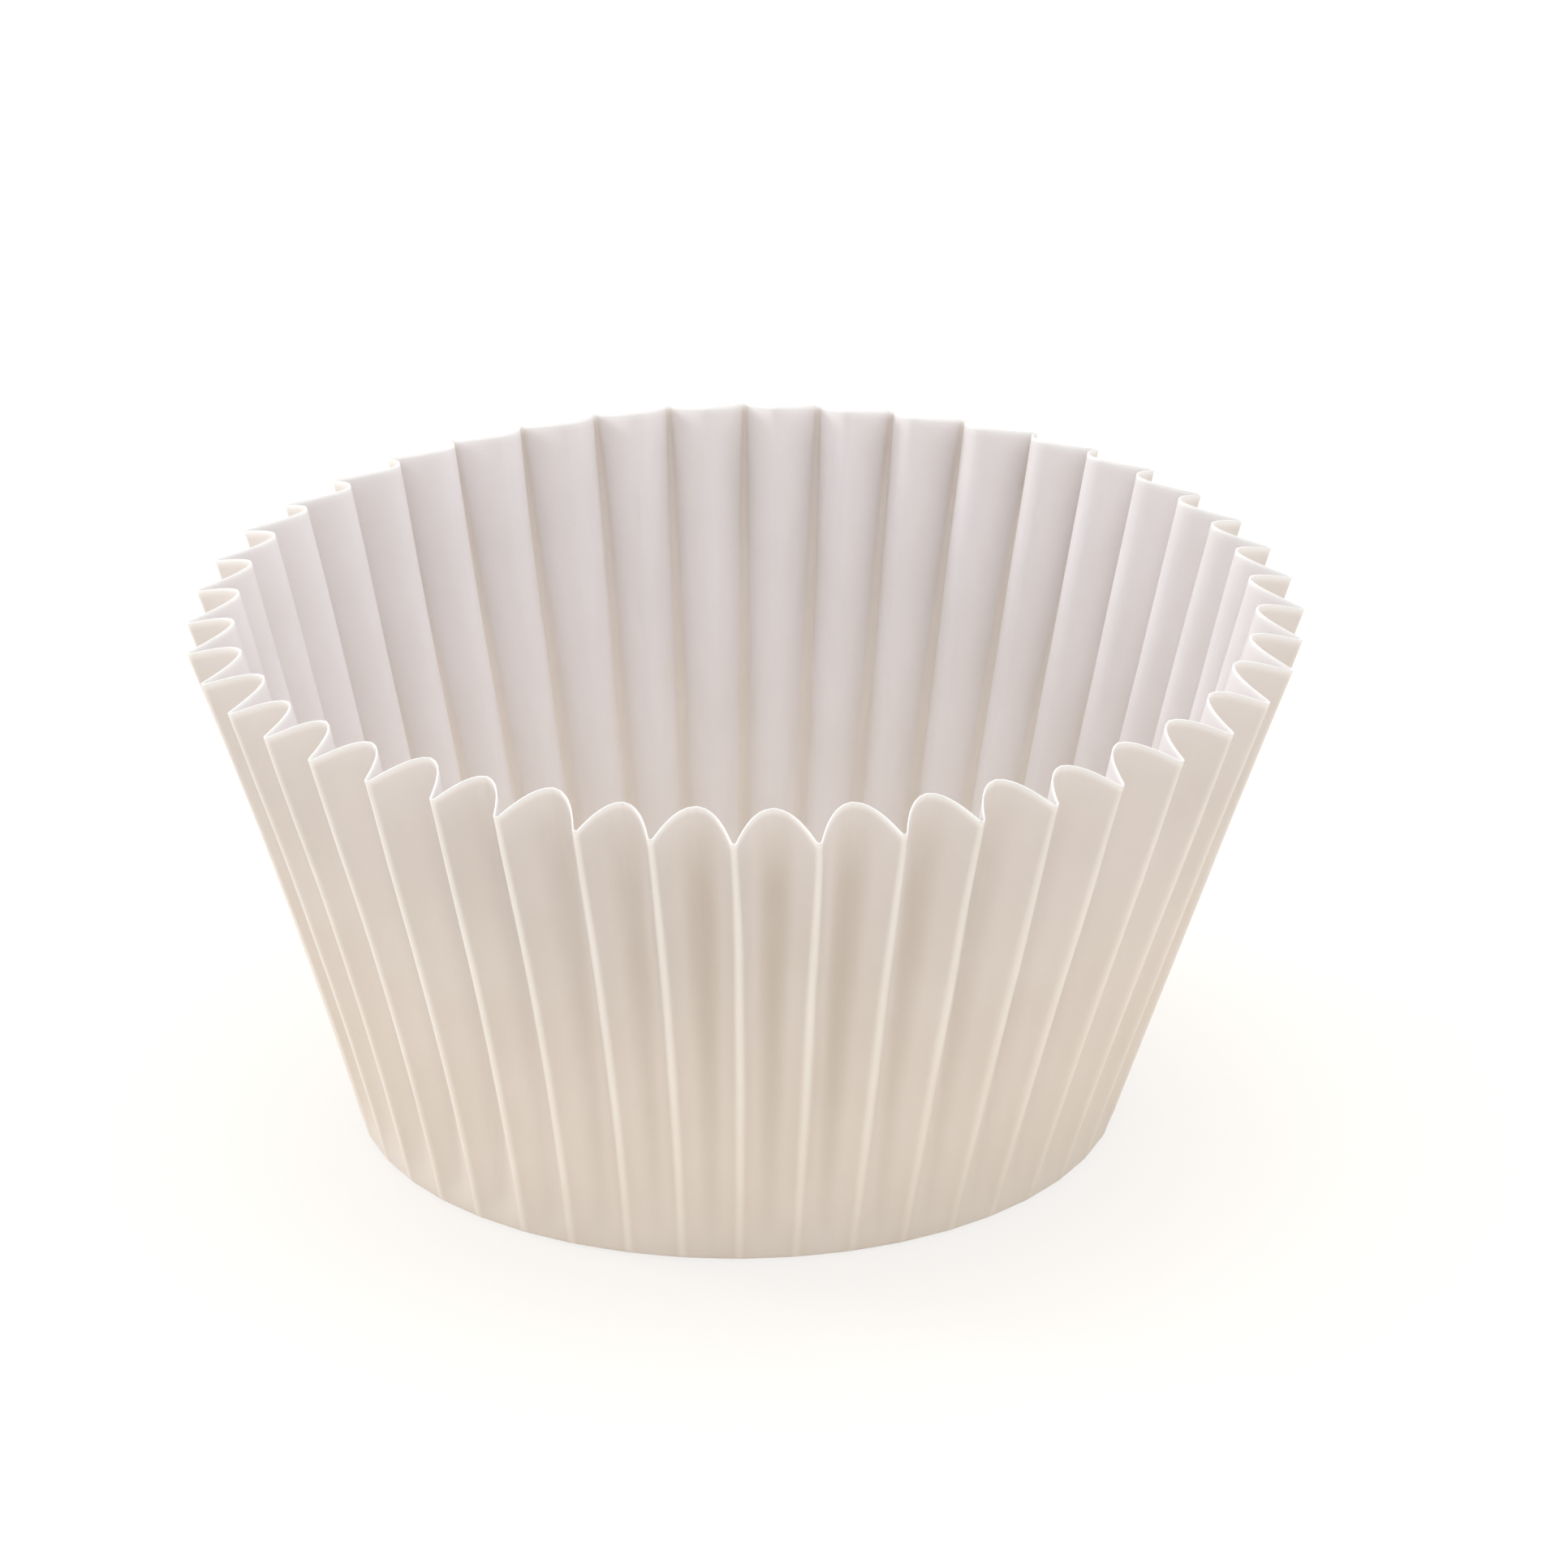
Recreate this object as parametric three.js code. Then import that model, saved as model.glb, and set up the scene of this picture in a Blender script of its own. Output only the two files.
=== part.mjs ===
import * as THREE from 'three';

// A paper liner for one small cake: a round flat sheet, pressed into an open cup in one piece.
// The floor is flat. The wall leans outwards, and the paper that is too long for it stands in
// flutes, with sharp creases outside and a rounded arch, pushed inwards, from crease to crease.
// Millimetres, +Z up. The origin is at the middle of the underside, and a crease lies on +X.

const fluteCount = 44;
const baseRadius = 25.5; // where the line of the creases meets the plane of the underside
const wallLength = 38; // paper from there to the cut edge
const wallLean = THREE.MathUtils.degToRad(18.8); // the creases, measured from upright
const paperThickness = 0.1;
const foldInsideRadius = 0.7; // the soft fold round the floor
const archPower = 2.2; // 2 makes each arch a parabola, and more makes it fuller

const pointsPerFlute = 8; // an even number, so that each arch has a point at its crown
const pointCrowding = 1.4; // above 1 the points gather at the crown, where the arch curves most
const foldRows = 2;
const wallRows = 5;
const rowCrowding = 1.5; // above 1 the rows gather near the floor, where the flutes grow fastest
const depthTolerance = 0.0001;

const foldOutsideRadius = foldInsideRadius + paperThickness;
const foldAngle = Math.PI / 2 - wallLean;
const foldLength = foldOutsideRadius * foldAngle;
const floorRadius = baseRadius - foldOutsideRadius * Math.tan(foldAngle / 2);
const sheetRadius = baseRadius + wallLength;
const straightLength = sheetRadius - floorRadius - foldLength;

const fluteAngle = 2 * Math.PI / fluteCount;
const pointsAround = fluteCount * pointsPerFlute;

// Where a crease runs: its radius, its height and the slope of the paper, all on the outside,
// at a distance measured along the paper from the middle of the sheet.
function creaseAt(distance) {
  const slope = Math.min((distance - floorRadius) / foldOutsideRadius, foldAngle);
  const pastFold = Math.max(distance - floorRadius - foldLength, 0);
  return {
    slope,
    radius: floorRadius + foldOutsideRadius * Math.sin(slope) + pastFold * Math.cos(slope),
    height: foldOutsideRadius * (1 - Math.cos(slope)) + pastFold * Math.sin(slope),
  };
}

// Places across one flute: -1 is one crease, 0 the crown of the arch and 1 the next crease.
function placeAcross(step) {
  const even = 2 * step / pointsPerFlute - 1;
  return Math.sign(even) * Math.abs(even) ** pointCrowding;
}

// A point on the outside of the paper, pushed in from the line of the creases by a depth.
function pointOnWall(crease, angle, depth) {
  const radius = crease.radius - depth * Math.sin(crease.slope);
  const height = crease.height + depth * Math.cos(crease.slope);
  return new THREE.Vector3(radius * Math.cos(angle), radius * Math.sin(angle), height);
}

// One flute of a ring, from its first crease to the crease where the next flute starts.
function flutePoints(crease, crownDepth, startAngle) {
  const points = [];
  for (let step = 0; step <= pointsPerFlute; step++) {
    const place = placeAcross(step);
    const angle = startAngle + fluteAngle * (1 + place) / 2;
    const depth = crownDepth * (1 - Math.abs(place) ** archPower);
    points.push(pointOnWall(crease, angle, depth));
  }
  return points;
}

function lengthAlong(points) {
  let length = 0;
  for (let step = 1; step < points.length; step++) {
    length += points[step].distanceTo(points[step - 1]);
  }
  return length;
}

// The flat sheet is a circle at this distance from its middle, and the wall there is a smaller
// one. The crown is as deep as lets a flute take up its share of the flat circle exactly.
function crownDepthAt(distance) {
  const crease = creaseAt(distance);
  const flatSheet = { slope: 0, radius: distance, height: 0 };
  const paperInFlute = lengthAlong(flutePoints(flatSheet, 0, 0));
  let shallow = 0;
  let deep = paperInFlute / 2;
  while (deep - shallow > depthTolerance) {
    const middle = (shallow + deep) / 2;
    if (lengthAlong(flutePoints(crease, middle, 0)) < paperInFlute) {
      shallow = middle;
    } else {
      deep = middle;
    }
  }
  return shallow;
}

// A ring of points right round the outside of the paper.
function outsideRing(distance) {
  const crease = creaseAt(distance);
  const crownDepth = crownDepthAt(distance);
  const ring = [];
  for (let flute = 0; flute < fluteCount; flute++) {
    const points = flutePoints(crease, crownDepth, flute * fluteAngle);
    ring.push(...points.slice(0, pointsPerFlute));
  }
  return ring;
}

// The direction into the cup, square to the paper between two points of a ring.
function inwards(uphill, from, to) {
  const along = new THREE.Vector3().subVectors(to, from);
  return new THREE.Vector3().crossVectors(uphill, along).normalize();
}

// The same ring on the inside, one thickness away from the paper on both sides of each point.
function insideRing(distance) {
  const { slope } = creaseAt(distance);
  const outside = outsideRing(distance);
  return outside.map((point, column) => {
    const uphill = new THREE.Vector3(point.x, point.y, 0).setLength(Math.cos(slope));
    uphill.z = Math.sin(slope);
    const before = inwards(uphill, outside.at(column - 1), point);
    const after = inwards(uphill, point, outside[(column + 1) % pointsAround]);
    const mitre = paperThickness / (1 + before.dot(after));
    return before.add(after).multiplyScalar(mitre).add(point);
  });
}

// Distances of the rings from the middle of the sheet, from the floor's edge to the cut edge.
function ringDistances() {
  const distances = [];
  for (let row = 0; row < foldRows; row++) {
    distances.push(floorRadius + foldLength * row / foldRows);
  }
  for (let row = 0; row <= wallRows; row++) {
    const share = (row / wallRows) ** rowCrowding;
    distances.push(floorRadius + foldLength + straightLength * share);
  }
  return distances;
}

// The skin goes up the outside from the middle of the underside, over the cut edge and down
// the inside to the middle of the floor, so it closes on itself. The facets' diagonals run
// uphill towards the crown of each arch, on both sides of the paper.
function paperGeometry() {
  const outside = ringDistances().map(outsideRing);
  const inside = ringDistances().map(insideRing).reverse();
  const rings = [...outside, ...inside];
  const points = rings.flat();
  const underside = points.push(new THREE.Vector3(0, 0, 0)) - 1;
  const floor = points.push(new THREE.Vector3(0, 0, paperThickness)) - 1;
  const at = (ring, column) => ring * pointsAround + column % pointsAround;
  const lastRing = rings.length - 1;
  const triangles = [];
  for (let column = 0; column < pointsAround; column++) {
    triangles.push(underside, at(0, column + 1), at(0, column));
    triangles.push(floor, at(lastRing, column), at(lastRing, column + 1));
    const beforeCrown = column % pointsPerFlute < pointsPerFlute / 2;
    for (let ring = 0; ring < lastRing; ring++) {
      const onOutside = ring < outside.length;
      const a = at(ring, column);
      const b = at(ring, column + 1);
      const c = at(ring + 1, column + 1);
      const d = at(ring + 1, column);
      if (beforeCrown === onOutside) {
        triangles.push(a, b, c, a, c, d);
      } else {
        triangles.push(a, b, d, b, c, d);
      }
    }
  }
  const geometry = new THREE.BufferGeometry().setFromPoints(points);
  geometry.setIndex(triangles);
  geometry.computeVertexNormals();
  return geometry;
}

const paper = new THREE.MeshStandardMaterial({ color: 0xece5dd, roughness: 0.55, metalness: 0 });

const liner = new THREE.Mesh(paperGeometry(), paper);
liner.name = 'liner';

const part = new THREE.Group();
part.add(liner);

export default part;
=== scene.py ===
from math import asin, cos, pi, radians, sin

import bpy
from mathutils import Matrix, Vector


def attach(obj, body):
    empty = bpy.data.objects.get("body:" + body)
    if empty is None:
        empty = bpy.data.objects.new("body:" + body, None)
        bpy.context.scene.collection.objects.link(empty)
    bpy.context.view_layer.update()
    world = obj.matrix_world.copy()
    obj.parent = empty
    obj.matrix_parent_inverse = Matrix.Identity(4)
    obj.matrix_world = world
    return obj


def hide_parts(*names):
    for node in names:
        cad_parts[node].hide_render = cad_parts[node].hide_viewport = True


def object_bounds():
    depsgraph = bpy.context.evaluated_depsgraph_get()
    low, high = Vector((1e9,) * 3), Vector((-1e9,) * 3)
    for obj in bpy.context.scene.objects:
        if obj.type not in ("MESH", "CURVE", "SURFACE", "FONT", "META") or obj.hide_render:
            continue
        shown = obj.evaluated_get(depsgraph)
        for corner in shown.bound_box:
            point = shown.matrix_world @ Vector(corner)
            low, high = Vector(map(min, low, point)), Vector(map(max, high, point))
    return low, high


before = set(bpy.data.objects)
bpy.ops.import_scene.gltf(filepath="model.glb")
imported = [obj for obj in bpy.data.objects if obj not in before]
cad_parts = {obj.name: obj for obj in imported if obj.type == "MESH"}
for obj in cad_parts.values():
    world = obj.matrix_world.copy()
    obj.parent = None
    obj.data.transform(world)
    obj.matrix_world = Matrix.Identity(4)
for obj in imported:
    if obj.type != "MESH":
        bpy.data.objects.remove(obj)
cadLow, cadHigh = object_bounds()
rimRadius = (cadHigh.x - cadLow.x) / 2
print("frame loaded:", sorted(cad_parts))


# Sockets and node trees

class Value:
    # A number on a socket. Sums on it add Math nodes to its tree.
    def __init__(self, tree, socket):
        self.tree = tree
        self.socket = socket

    def maths(self, operation, *others):
        return self.tree.value("ShaderNodeMath", {"operation": operation}, [self, *others])

    def mathsAfter(self, operation, first):
        return self.tree.value("ShaderNodeMath", {"operation": operation}, [first, self])

    def __add__(self, other):
        return self.maths("ADD", other)

    def __radd__(self, other):
        return self.mathsAfter("ADD", other)

    def __sub__(self, other):
        return self.maths("SUBTRACT", other)

    def __rsub__(self, other):
        return self.mathsAfter("SUBTRACT", other)

    def __mul__(self, other):
        return self.maths("MULTIPLY", other)

    def __rmul__(self, other):
        return self.mathsAfter("MULTIPLY", other)

    def __truediv__(self, other):
        return self.maths("DIVIDE", other)

    def __rtruediv__(self, other):
        return self.mathsAfter("DIVIDE", other)

    def __pow__(self, other):
        return self.maths("POWER", other)

    def __gt__(self, other):
        return self.maths("GREATER_THAN", other)

    def __mod__(self, other):
        return self.maths("FLOORED_MODULO", other)

    def __abs__(self):
        return self.maths("ABSOLUTE")


class Tree:
    def __init__(self, nodeTree):
        self.nodeTree = nodeTree

    def feed(self, socket, value):
        if isinstance(value, Value):
            value = value.socket
        if isinstance(value, bpy.types.NodeSocket):
            self.nodeTree.links.new(value, socket)
        else:
            socket.default_value = value

    def find(self, sockets, key):
        if isinstance(key, int):
            return sockets[key]
        return next(socket for socket in sockets if socket.name == key and not socket.is_unavailable)

    def add(self, kind, settings=None, inputs=None):
        node = self.nodeTree.nodes.new(kind)
        for name, setting in (settings or {}).items():
            setattr(node, name, setting)
        pairs = inputs.items() if isinstance(inputs, dict) else enumerate(inputs or [])
        for key, value in pairs:
            self.feed(self.find(node.inputs, key), value)
        return node

    def value(self, kind, settings=None, inputs=None, output=0):
        node = self.add(kind, settings, inputs)
        return Value(self, self.find(node.outputs, output))

    def vector(self, operation, *inputs):
        return self.add("ShaderNodeVectorMath", {"operation": operation}, list(inputs)).outputs[0]

    def blend(self, share, first, second):
        mixer = self.add("ShaderNodeMix", {"data_type": "RGBA"}, {
            "Factor": share, "A": first, "B": second})
        return self.find(mixer.outputs, "Result")

    def mapped(self, value, fromLow, fromHigh, toLow=0.0, toHigh=1.0):
        return self.value("ShaderNodeMapRange", {"interpolation_type": "SMOOTHSTEP"}, {
            "Value": value, "From Min": fromLow, "From Max": fromHigh, "To Min": toLow, "To Max": toHigh})


def emptyTree(owner):
    owner.use_nodes = True
    owner.node_tree.nodes.clear()
    return Tree(owner.node_tree)


# Camera

view = {
    "photoSize": 1932,           # pixels along each side of the square picture
    "rimCentre": (916, 761),     # where the middle of the rim is in it
    "elevation": radians(23.3),
    "distance": 0.83,            # from the middle of the rim, in metres
    "focalPixels": 15070,
    "sensor": 36.0,
    "clipEnd": 100,              # well past the far edge of the floor
}


def placeCamera(rimHeight):
    eyeLine = Vector((0, -cos(view["elevation"]), sin(view["elevation"])))
    across = Vector((1, 0, 0))
    up = eyeLine.cross(across)
    rimCentre = Vector((0, 0, rimHeight))
    metresPerPixel = view["distance"] / view["focalPixels"]
    middle = view["photoSize"] / 2
    rightBy = (middle - view["rimCentre"][0]) * metresPerPixel
    downBy = (middle - view["rimCentre"][1]) * metresPerPixel
    target = rimCentre + across * rightBy - up * downBy
    data = bpy.data.cameras.new("camera")
    data.sensor_width = view["sensor"]
    data.lens = view["focalPixels"] * view["sensor"] / view["photoSize"]
    data.clip_end = view["clipEnd"]
    camera = bpy.data.objects.new("camera", data)
    camera.location = rimCentre + eyeLine * view["distance"]
    camera.rotation_euler = (target - camera.location).to_track_quat("-Z", "Y").to_euler()
    bpy.context.collection.objects.link(camera)
    bpy.context.scene.camera = camera
    print("camera: lens", round(data.lens), "mm")


# The folded sheet. Lengths are in metres, and angles in radians.

linerShape = {
    "flutes": 44,
    "baseRadius": 0.0255,        # where the creases meet the plane of the underside
    "wallLength": 0.038,         # paper from there to the cut edge
    "foldRadius": 0.0008,        # outside of the soft fold round the floor
    "paperThickness": 0.0001,
    "crestRadius": 0.00024,      # a crease is pressed round, not to a knife edge
    "lowCrestRadius": 0.0008,    # the same, down at the fold
    "crestSoftening": 0.7,       # below 1 the crests turn soft soon below the cut edge
    "archFullness": 0.85,        # the flanks turn into the crown late when it is low
    "fadeInFrom": -0.001,        # the flutes start gently, just above the fold
    "fadeInTo": 0.002,
    "creaseWander": 0.035,       # of a flute, to either side
    "wobble": 0.00035,           # how far the cut edge strays
    "wobbleScale": 3.1,
    "wobbleRise": 1.5,           # above 1 most of the straying is near the cut edge
    "tilt": 0.0117,              # the cut edge is higher on the right
    "pushRise": 2.5,             # how soon a push at the fold dies away up the wall
    "pushInwards": 4.0,          # and towards the middle of the floor
    "pointsPerFlute": 28,
    "crowding": 1.75,            # above 1 the points gather at the creases
    "floorRows": 3,
    "foldRows": 4,
    "wallRows": 22,
    "rowCrowding": 1.2,          # above 1 the rows gather near the fold
    "edgeBand": 0.00025,         # the last row, at the cut edge
    "mergeDistance": 0.000002,
    "leastRadius": 0.001,        # keeps the middle of the floor from dividing by nothing
    "leastReach": 0.000001,      # the same, while the flanks are being steepened
    "halvings": 17,              # of the step by which the flanks are made steeper
    "seed": 5,
}

# Where fingers have pressed the rim: the direction round the cup, how far round it reaches and
# how far the paper went.
rimBends = [
    {"direction": radians(-33), "reach": 0.30, "outwards": 0.0009, "upwards": 0.0001, "sideways": 0.0},
    {"direction": radians(-126), "reach": 0.28, "outwards": 0.0, "upwards": 0.0008, "sideways": 0.0},
    {"direction": radians(-95), "reach": 0.45, "outwards": 0.0, "upwards": 0.0, "sideways": -0.0005},
]

# Down at the fold the creases lean at one place and the paper bulges at another. Some creases are sharper
# than the rest, and carry a stronger painted highlight; the painted shade in the valleys between the
# creases is darker towards the front.
lowBend = {"direction": radians(-128), "reach": 0.42, "sideways": -0.0008}
lowPush = {"direction": radians(-155), "reach": 0.65, "outwards": 0.0010}
sharpCreases = {"direction": radians(-135), "reach": 0.75, "share": 0.72}
frontValleyShade = {"direction": radians(-84), "reach": 0.36}


def near(spot, angle):
    # 1 in the spot's own direction, fading to 0 past its reach.
    return (((angle - spot["direction"]).maths("COSINE") - 1) / spot["reach"] ** 2).maths("EXPONENT")


class SheetTree(Tree):
    # Folds a grid, with rows up the sheet and columns round it, as the flat round sheet is folded.
    def __init__(self):
        super().__init__(bpy.data.node_groups.new("foldedSheet", "GeometryNodeTree"))
        interface = self.nodeTree.interface
        for name, size in linerShape.items():
            kind = "NodeSocketInt" if isinstance(size, int) else "NodeSocketFloat"
            interface.new_socket(name, in_out="INPUT", socket_type=kind)
        interface.new_socket("rimRadius", in_out="INPUT", socket_type="NodeSocketFloat")
        interface.new_socket("Geometry", in_out="OUTPUT", socket_type="NodeSocketGeometry")
        entry = self.add("NodeGroupInput")
        self.given = {socket.name: Value(self, socket) for socket in entry.outputs if socket.name}

    def remember(self, mesh, name, value, kind="FLOAT"):
        return self.add("GeometryNodeStoreNamedAttribute", {"data_type": kind, "domain": "POINT"},
                        {"Geometry": mesh, "Name": name, "Value": value}).outputs["Geometry"]

    def summed(self, amount, output):
        # Added up along one row of one flute.
        return self.value("GeometryNodeAccumulateField", {"data_type": "FLOAT", "domain": "POINT"},
                          {"Value": amount, "Group ID": self.groupNumber}, output)

    def pointAt(self, radius, angle, height):
        return self.value("ShaderNodeCombineXYZ", None, [
            radius * angle.maths("COSINE"), radius * angle.maths("SINE"), height])

    def makeGrid(self):
        # The middle of the floor and the cut edge have a row each, besides those that are given.
        given = self.given
        rows = given["floorRows"] + given["foldRows"] + given["wallRows"] + 2
        columns = given["flutes"] * given["pointsPerFlute"] + 1
        grid = self.add("GeometryNodeMeshGrid", None, {"Vertices X": columns, "Vertices Y": rows})
        index = self.value("GeometryNodeInputIndex")
        column = ((index + 0.5) / rows).maths("FLOOR")
        self.row = index - column * rows
        self.flute = ((column + 0.5) / given["pointsPerFlute"]).maths("FLOOR")
        self.step = column - self.flute * given["pointsPerFlute"]
        self.groupNumber = self.flute * rows + self.row
        return grid.outputs["Mesh"]

    def shareOfRows(self, before, count):
        return ((self.row - before) / count).maths("MAXIMUM", 0.0).maths("MINIMUM", 1.0)

    def runCreases(self):
        # How far the row is from the middle of the flat sheet.
        given = self.given
        lean = ((given["rimRadius"] - given["baseRadius"]) / given["wallLength"]).maths("ARCSINE")
        foldAngle = pi / 2 - lean
        foldLength = given["foldRadius"] * foldAngle
        floorRadius = given["baseRadius"] - given["foldRadius"] * (foldAngle / 2).maths("TANGENT")
        self.sheetRadius = given["baseRadius"] + given["wallLength"]
        straight = self.sheetRadius - floorRadius - foldLength

        upToFold = given["floorRows"]
        upToWall = upToFold + given["foldRows"]
        upToEdge = upToWall + given["wallRows"]
        onFloor = floorRadius * self.shareOfRows(0.0, upToFold)
        onFold = foldLength * self.shareOfRows(upToFold, given["foldRows"])
        upWall = self.shareOfRows(upToWall, given["wallRows"]) ** given["rowCrowding"]
        onWall = (straight - given["edgeBand"]) * upWall
        self.pastFold = onWall + given["edgeBand"] * self.shareOfRows(upToEdge, 1.0)
        self.distance = onFloor + onFold + self.pastFold

        # Where the creases run there, once the wall stands up.
        slope = onFold / given["foldRadius"]
        self.slopeSine = slope.maths("SINE")
        self.slopeCosine = slope.maths("COSINE")
        self.radius = onFloor + given["foldRadius"] * self.slopeSine + self.pastFold * self.slopeCosine
        self.height = given["foldRadius"] * (1 - self.slopeCosine) + self.pastFold * self.slopeSine
        self.highness = self.pastFold / straight
        self.lowness = 1 - self.highness
        self.acrossFloor = onFloor / floorRadius

    def creaseAngle(self, number):
        given = self.given
        random = self.value("FunctionNodeRandomValue", {"data_type": "FLOAT"}, {
            "Min": -1.0, "Max": 1.0, "ID": number % given["flutes"], "Seed": given["seed"]}, "Value")
        return (number + random * given["creaseWander"]) * (2 * pi / given["flutes"])

    def shareFromCrease(self, step):
        return (1 - abs(step * 2 / self.given["pointsPerFlute"] - 1)) ** self.given["crowding"]

    def divideFlutes(self):
        # Each flute runs from its own crease to the next one, and the creases wander a little.
        given = self.given
        self.startAngle = self.creaseAngle(self.flute)
        self.openAngle = self.creaseAngle(self.flute + 1) - self.startAngle
        self.halfFlute = self.distance * self.openAngle / 2

        # One step across the flute: how long it is, and where its middle lies from crease to crown.
        self.here = self.shareFromCrease(self.step)
        ahead = self.shareFromCrease(self.step + 1)
        self.stepLength = abs(ahead - self.here) * self.halfFlute
        self.middle = (self.here + ahead) / 2
        self.rising = (given["pointsPerFlute"] / 2 - self.step - 0.5).maths("SIGN")

        sharpness = near(sharpCreases, self.startAngle) * sharpCreases["share"]
        softness = (1 - sharpness) * self.lowness ** given["crestSoftening"]
        sharpest = given["crestRadius"]
        self.crestRadius = sharpest + (given["lowCrestRadius"] - sharpest) * softness

    def followPaper(self, flank):
        # The paper leaves the crease in a small round crest, climbs the flank and turns at the crown.
        given = self.given
        crest = self.middle * self.halfFlute / self.crestRadius
        turning = (1 - self.middle) ** given["archFullness"]
        arch = (flank.maths("TANGENT") * turning).maths("ARCTANGENT")
        paperAngle = crest.maths("MINIMUM", arch)
        rise = paperAngle.maths("SINE") * self.stepLength * self.rising
        run = paperAngle.maths("COSINE") * self.stepLength
        depth = self.summed(rise, "Trailing")
        reach = self.radius - (depth + rise / 2) * self.slopeSine
        turned = run / reach.maths("MAXIMUM", given["leastReach"])
        return depth, turned

    def steepenFlanks(self, mesh):
        # The flanks are just steep enough for the paper's own length to fit between the creases.
        flank = self.value("GeometryNodeInputNamedAttribute", {"data_type": "FLOAT"}, {"Name": "flank"},
                           "Attribute")
        start = self.add("GeometryNodeRepeatInput")
        end = self.add("GeometryNodeRepeatOutput")
        start.pair_with_output(end)
        end.repeat_items.new("FLOAT", "change")
        self.feed(start.inputs["Iterations"], self.given["halvings"])
        self.feed(start.inputs["Geometry"], self.remember(mesh, "flank", 0.0))
        self.feed(start.inputs["change"], pi / 4)
        change = Value(self, start.outputs["change"])
        turned = self.followPaper(flank + change)[1]
        stillTooWide = self.summed(turned, "Total") > self.openAngle
        steeper = self.remember(start.outputs["Geometry"], "flank", flank + change * stillTooWide)
        self.feed(end.inputs["Geometry"], steeper)
        self.feed(end.inputs["change"], change / 2)

        # With the flanks found: how deep each point is pushed in, and where it is round the cup.
        depth, turned = self.followPaper(flank)
        self.depth = depth * self.mapped(self.pastFold, self.given["fadeInFrom"], self.given["fadeInTo"])
        self.angle = self.startAngle + (
            self.openAngle * self.summed(turned, "Trailing") / self.summed(turned, "Total"))
        return end.outputs["Geometry"]

    def placePoints(self, mesh):
        # Nothing handmade is quite regular: the wall strays more the higher it is.
        given = self.given
        angle = self.angle
        ringPlace = self.value("ShaderNodeCombineXYZ", None, [
            angle.maths("COSINE"), angle.maths("SINE"), self.height / self.sheetRadius])
        noise = self.add("ShaderNodeTexNoise", {"noise_dimensions": "3D"}, {
            "Vector": ringPlace, "Scale": given["wobbleScale"], "Detail": 1.0})
        strays = self.add("ShaderNodeSeparateXYZ", None, {0: noise.outputs["Color"]}).outputs
        tilted = angle.maths("COSINE") * self.radius * given["tilt"]
        outwards = (Value(self, strays[0]) - 0.5) * 2 * given["wobble"]
        upwards = (Value(self, strays[1]) - 0.5) * given["wobble"] + tilted
        sideways = (Value(self, strays[2]) - 0.5) * 2 * given["wobble"]
        for bend in rimBends:
            outwards = outwards + near(bend, angle) * bend["outwards"]
            upwards = upwards + near(bend, angle) * bend["upwards"]
            sideways = sideways + near(bend, angle) * bend["sideways"]

        looseness = self.highness ** given["wobbleRise"]
        lowShare = self.lowness ** given["pushRise"] * self.acrossFloor ** given["pushInwards"]
        outwards = outwards * looseness + near(lowPush, angle) * lowPush["outwards"] * lowShare
        sideways = sideways * looseness + near(lowBend, angle) * lowBend["sideways"] * lowShare
        reach = self.radius - self.depth * self.slopeSine + outwards
        direction = angle + sideways / self.radius.maths("MAXIMUM", given["leastRadius"])
        height = self.height + self.depth * self.slopeCosine + upwards * looseness
        laid = self.add("GeometryNodeSetPosition", None, {
            "Geometry": mesh, "Position": self.pointAt(reach, direction, height)})
        return laid.outputs["Geometry"]

    def rememberForFinish(self, mesh):
        # The finish follows the flat sheet, the creases and the cut edge, and places the painted light
        # and shade.
        halfway = self.rising * self.here / 2 + (1 - self.rising) / 2
        flatAngle = self.startAngle + self.openAngle * halfway
        flatPlace = self.pointAt(self.distance, flatAngle, 0.0)
        mesh = self.remember(mesh, "flatSheet", flatPlace, "FLOAT_VECTOR")
        mesh = self.remember(mesh, "fromCrease", self.here * self.halfFlute)
        mesh = self.remember(mesh, "towardsCrown", self.here)
        mesh = self.remember(mesh, "pushedIn", self.depth)
        # Where the painted highlight along the creases is strongest.
        mesh = self.remember(mesh, "nearSharpCreases", near(sharpCreases, self.angle))
        # Where the painted shade in the valleys is strongest.
        mesh = self.remember(mesh, "strongValleyShade", near(frontValleyShade, self.angle))
        return self.remember(mesh, "fromCutEdge", self.sheetRadius - self.distance)

    def finishMesh(self, mesh, material):
        closed = self.add("GeometryNodeMergeByDistance", None, {
            "Geometry": mesh, "Distance": self.given["mergeDistance"]})
        smooth = self.add("GeometryNodeSetShadeSmooth", None, {"Geometry": closed.outputs["Geometry"]})
        real = self.add("GeometryNodeRealizeInstances", None, {"Geometry": smooth.outputs["Geometry"]})
        finished = self.add("GeometryNodeSetMaterial", None, {
            "Geometry": real.outputs["Geometry"], "Material": material})
        self.add("NodeGroupOutput", None, {"Geometry": finished.outputs["Geometry"]})


def buildSheetTree(material):
    tree = SheetTree()
    grid = tree.makeGrid()
    tree.runCreases()
    tree.divideFlutes()
    folded = tree.steepenFlanks(grid)
    standing = tree.placePoints(folded)
    tree.finishMesh(tree.rememberForFinish(standing), material)
    return tree.nodeTree


def applyModifiers(piece):
    depsgraph = bpy.context.evaluated_depsgraph_get()
    shaped = piece.evaluated_get(depsgraph)
    piece.data = bpy.data.meshes.new_from_object(
        shaped, preserve_all_data_layers=True, depsgraph=depsgraph)
    piece.modifiers.clear()


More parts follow.
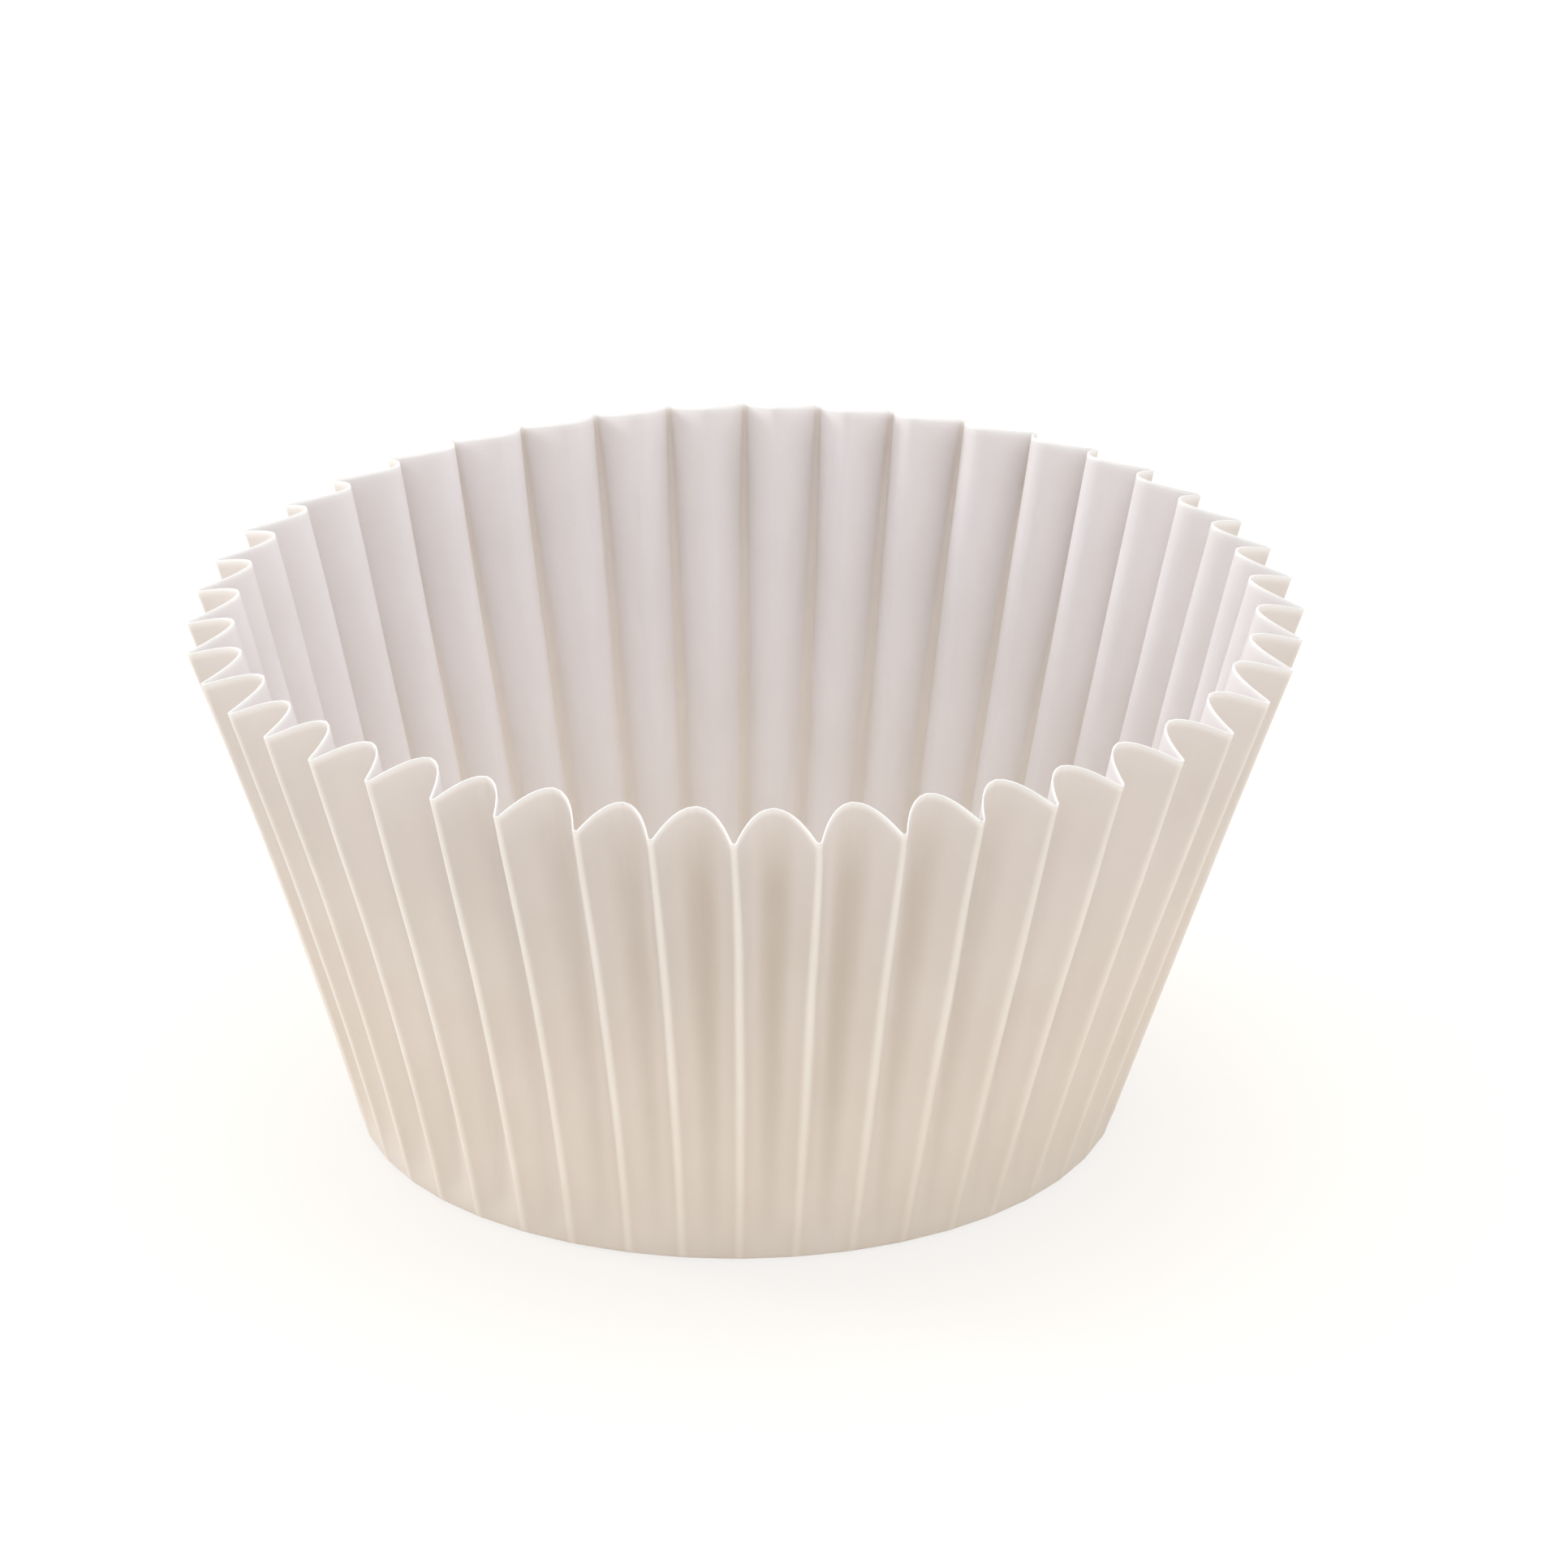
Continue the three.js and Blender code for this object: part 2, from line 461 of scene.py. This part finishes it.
def makeLiner(outside, inside):
    piece = bpy.data.objects.new("foldedSheet", bpy.data.meshes.new("foldedSheet"))
    bpy.context.collection.objects.link(piece)
    folding = piece.modifiers.new("folding", "NODES")
    folding.node_group = buildSheetTree(outside)
    inputs = {**linerShape, "rimRadius": rimRadius}
    for socket in folding.node_group.interface.items_tree:
        if socket.in_out == "INPUT":
            folding[socket.identifier] = inputs[socket.name]
    applyModifiers(piece)

    piece.data.materials.pop(index=0)      # the grid's own empty slot
    piece.data.materials.append(inside)
    paper = piece.modifiers.new("paper", "SOLIDIFY")
    paper.thickness = linerShape["paperThickness"]
    paper.offset = -1                      # the creases run on the outside of the paper
    paper.use_even_offset = True
    paper.material_offset = 1              # the inside has its own copy of the paper, with its own painted light and shade
    applyModifiers(piece)
    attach(piece, "root")
    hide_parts("liner")
    print("liner:", len(piece.data.vertices), "points,", len(piece.data.polygons), "faces")


# Paper: thin, pale and slightly glossy, with a faint cloud and fine fibres, and painted light and shade
# in its tones

white = (1, 1, 1, 1)

paperLook = {
    "colour": (0.885, 0.858, 0.848, 1),
    "cloudColour": (0.87, 0.842, 0.826, 1),
    "cloudSize": 0.009,
    "cloudFrom": 0.35,
    "cloudTo": 0.65,
    # A lighter band along the cut edge is a painted highlight.
    "edgeHighlightColour": (0.955, 0.945, 0.93, 1),
    "edgeHighlightWidth": 0.0007,
    "edgeHighlightShare": 0.85,           # of the painted highlight's own colour, right at the cut
    "fibreLength": 0.0012,
    "fibreWidth": 0.00018,
    "fibreRelief": 0.6,
    "grainSize": 0.00009,
    "grainRelief": 0.4,
    "bumpHeight": 0.00003,
    "bumpStrength": 0.5,
    "roughness": 0.46,
    "roughnessSpread": 0.15,
    "letsThrough": 0.33,         # of the light
    "highTo": 0.004,             # down from the cut edge, where the painted light high up starts to give way
    "lowFrom": 0.034,            # and where the painted light low down has taken over
    # The valleys between the creases get painted shade.
    "valleyDepth": 0.0026,
    "valleyFrom": 0.5,           # of the way from crease to crown
    "valleyFadeFrom": -0.002,    # the painted shade in the valleys grows weak towards the cut edge
    "valleyFadeTo": 0.008,
}

# Painted light and shade on each side of the sheet, as tones that multiply the colour: painted light high
# up and low down, painted shade in the valleys between the creases, and along the creases a painted
# highlight outside and painted shade inside.
outsidePaintedLight = {
    # Painted light: cooler and a little darker high up, warmer low down.
    "high": (0.94, 0.93, 0.915, 1),
    "low": (0.985, 0.96, 0.91, 1),
    # Painted shade in the valleys, weaker away from the front.
    "valleyShade": (0.80, 0.77, 0.72, 1),
    "sideValleyShade": (0.91, 0.90, 0.91, 1),
    # Painted highlight along the creases, stronger where they are sharp.
    "crease": (1.04, 1.06, 1.07, 1),
    "sharpCreaseShading": (1.12, 1.16, 1.20, 1),
    "creaseWidth": 0.00045,
}
insidePaintedLight = {
    # Painted light: lighter and cooler high up.
    "high": (1.05, 1.045, 1.065, 1),
    "low": (1.02, 1.01, 1.0, 1),
    # A slight painted shade on the crowns, seen from inside.
    "valleyShade": (0.985, 0.985, 0.99, 1),
    "sideValleyShade": (0.985, 0.985, 0.99, 1),
    # Painted shade in the grooves along the creases.
    "crease": (0.89, 0.85, 0.79, 1),
    "sharpCreaseShading": (0.89, 0.85, 0.79, 1),
    "creaseWidth": 0.00095,
}


def makePaper(name, paintedLight):
    look = paperLook
    material = bpy.data.materials.new(name)
    tree = emptyTree(material)
    flatSheet = tree.add("ShaderNodeAttribute", {"attribute_name": "flatSheet"}).outputs["Vector"]

    def remembered(attribute):
        return tree.value("ShaderNodeAttribute", {"attribute_name": attribute}, None, "Fac")

    def noise(size, detail, stretch=(1, 1, 1)):
        place = tree.vector("MULTIPLY", flatSheet, stretch)
        return tree.value("ShaderNodeTexNoise", None, {
            "Vector": place, "Scale": 1 / size, "Detail": detail})

    fromCutEdge = remembered("fromCutEdge")
    cloud = noise(look["cloudSize"], 3.0)
    fibres = noise(look["fibreLength"], 2.0, (1, look["fibreLength"] / look["fibreWidth"], 1))
    grain = noise(look["grainSize"], 2.0)

    # Where the wall is high or low, and where the valleys, the creases and the cut edge are: the places
    # of the painted light, shade and highlights.
    low = tree.mapped(fromCutEdge, look["highTo"], look["lowFrom"])
    valleyShade = tree.mapped(remembered("pushedIn"), 0.0, look["valleyDepth"])
    valleyShade = valleyShade * tree.mapped(remembered("towardsCrown"), look["valleyFrom"], 1.0)
    valleyShade = valleyShade * tree.mapped(fromCutEdge, look["valleyFadeFrom"], look["valleyFadeTo"])
    # Along the creases: a painted highlight outside, painted shade inside.
    crease = tree.mapped(remembered("fromCrease"), 0.0, paintedLight["creaseWidth"], 1.0, 0.0)
    # Painted highlight along the cut edge.
    edgeHighlight = tree.mapped(fromCutEdge, 0.0, look["edgeHighlightWidth"], 1.0, 0.0)

    # Painted shade in the valleys, stronger towards the front.
    valleyShadeTone = tree.blend(remembered("strongValleyShade"), paintedLight["sideValleyShade"], paintedLight["valleyShade"])
    # Painted highlight along the creases outside, stronger at the sharp creases; painted shade inside.
    creaseTone = tree.blend(remembered("nearSharpCreases"), paintedLight["crease"], paintedLight["sharpCreaseShading"])
    # Painted light high and low on the wall, then the painted shade and highlights multiply it.
    tone = tree.blend(low, paintedLight["high"], paintedLight["low"])
    tone = tree.vector("MULTIPLY", tone, tree.blend(valleyShade, white, valleyShadeTone))
    tone = tree.vector("MULTIPLY", tone, tree.blend(crease, white, creaseTone))
    clouded = tree.mapped(cloud, look["cloudFrom"], look["cloudTo"])
    colour = tree.blend(clouded, look["colour"], look["cloudColour"])
    colour = tree.vector("MULTIPLY", colour, tone)
    colour = tree.blend(edgeHighlight * look["edgeHighlightShare"], colour, look["edgeHighlightColour"])

    bump = tree.add("ShaderNodeBump", None, {
        "Strength": look["bumpStrength"], "Distance": look["bumpHeight"],
        "Height": fibres * look["fibreRelief"] + grain * look["grainRelief"]})
    face = tree.add("ShaderNodeBsdfPrincipled", None, {
        "Base Color": colour, "Roughness": look["roughness"] + (cloud - 0.5) * look["roughnessSpread"],
        "Normal": bump.outputs["Normal"]})
    through = tree.add("ShaderNodeBsdfTranslucent", None, {"Color": colour})
    both = tree.add("ShaderNodeMixShader", None, [
        look["letsThrough"], face.outputs["BSDF"], through.outputs["BSDF"]])
    tree.add("ShaderNodeOutputMaterial", None, {"Surface": both.outputs["Shader"]})
    print("paper:", name)
    return material


# Floor, backdrop and light

studio = {
    "floorSize": 12.0,
    "floorColour": (0.92, 0.835, 0.72, 1),
    "floorWhite": 0.74,          # how much of the floor shows as plain white, so its shadow stays faint
    "fadeFrom": 0.1,             # from here the floor turns into the white of the backdrop
    "fadeTo": 0.6,
    "skyColour": (0.965, 0.98, 1.0, 1),
    "skyStrength": 0.86,
}

lamps = [
    {"name": "key", "place": (-1.0, 0.34, 0.38), "size": 0.35, "power": 4.0},
    {"name": "fill", "place": (1.05, -0.05, 0.45), "size": 0.35, "power": 0.3},
    {"name": "top", "place": (0.0, 0.15, 1.1), "size": 1.0, "power": 8.5},
]


def seenDirectly(tree):
    path = tree.add("ShaderNodeLightPath").outputs
    camera = Value(tree, path["Is Camera Ray"])
    glossy = Value(tree, path["Is Glossy Ray"])
    passed = Value(tree, path["Is Transmission Ray"])
    return camera.maths("MAXIMUM", glossy).maths("MAXIMUM", passed)


def makeFloor():
    half = studio["floorSize"] / 2
    corners = [(-half, -half, 0), (half, -half, 0), (half, half, 0), (-half, half, 0)]
    mesh = bpy.data.meshes.new("floor")
    mesh.from_pydata(corners, [], [(0, 1, 2, 3)])
    floor = bpy.data.objects.new("floor", mesh)
    bpy.context.collection.objects.link(floor)
    material = bpy.data.materials.new("paleFloor")
    tree = emptyTree(material)
    matt = tree.add("ShaderNodeBsdfDiffuse", None, {"Color": studio["floorColour"]})
    glowing = tree.add("ShaderNodeEmission", None, {"Color": white, "Strength": 1.0})
    place = tree.add("ShaderNodeTexCoord").outputs["Object"]
    away = tree.value("ShaderNodeVectorMath", {"operation": "LENGTH"}, [place], "Value")
    whiteness = tree.mapped(away, studio["fadeFrom"], studio["fadeTo"], studio["floorWhite"], 1.0)
    mixed = tree.add("ShaderNodeMixShader", None, [
        seenDirectly(tree) * whiteness, matt.outputs["BSDF"], glowing.outputs["Emission"]])
    tree.add("ShaderNodeOutputMaterial", None, {"Surface": mixed.outputs["Shader"]})
    mesh.materials.append(material)


def makeBackdrop():
    world = bpy.data.worlds.new("studio")
    tree = emptyTree(world)
    seen = seenDirectly(tree)
    strength = studio["skyStrength"] + seen * (1 - studio["skyStrength"])
    skyColour = tree.blend(seen, studio["skyColour"], white)
    sky = tree.add("ShaderNodeBackground", None, {"Color": skyColour, "Strength": strength})
    tree.add("ShaderNodeOutputWorld", None, {"Surface": sky.outputs["Background"]})
    bpy.context.scene.world = world


def addLamp(name, place, size, power):
    data = bpy.data.lights.new(name, "AREA")
    data.shape = "DISK"
    data.size = size
    data.energy = power
    lamp = bpy.data.objects.new(name, data)
    lamp.location = place
    lamp.rotation_euler = (-Vector(place)).to_track_quat("-Z", "Y").to_euler()
    bpy.context.collection.objects.link(lamp)


lean = asin((rimRadius - linerShape["baseRadius"]) / linerShape["wallLength"])
placeCamera(linerShape["wallLength"] * cos(lean))
makeFloor()
makeBackdrop()
for lamp in lamps:
    addLamp(**lamp)
print("studio set")
makeLiner(makePaper("outerPaper", outsidePaintedLight), makePaper("innerPaper", insidePaintedLight))

bpy.context.scene.view_settings.view_transform = "Standard"
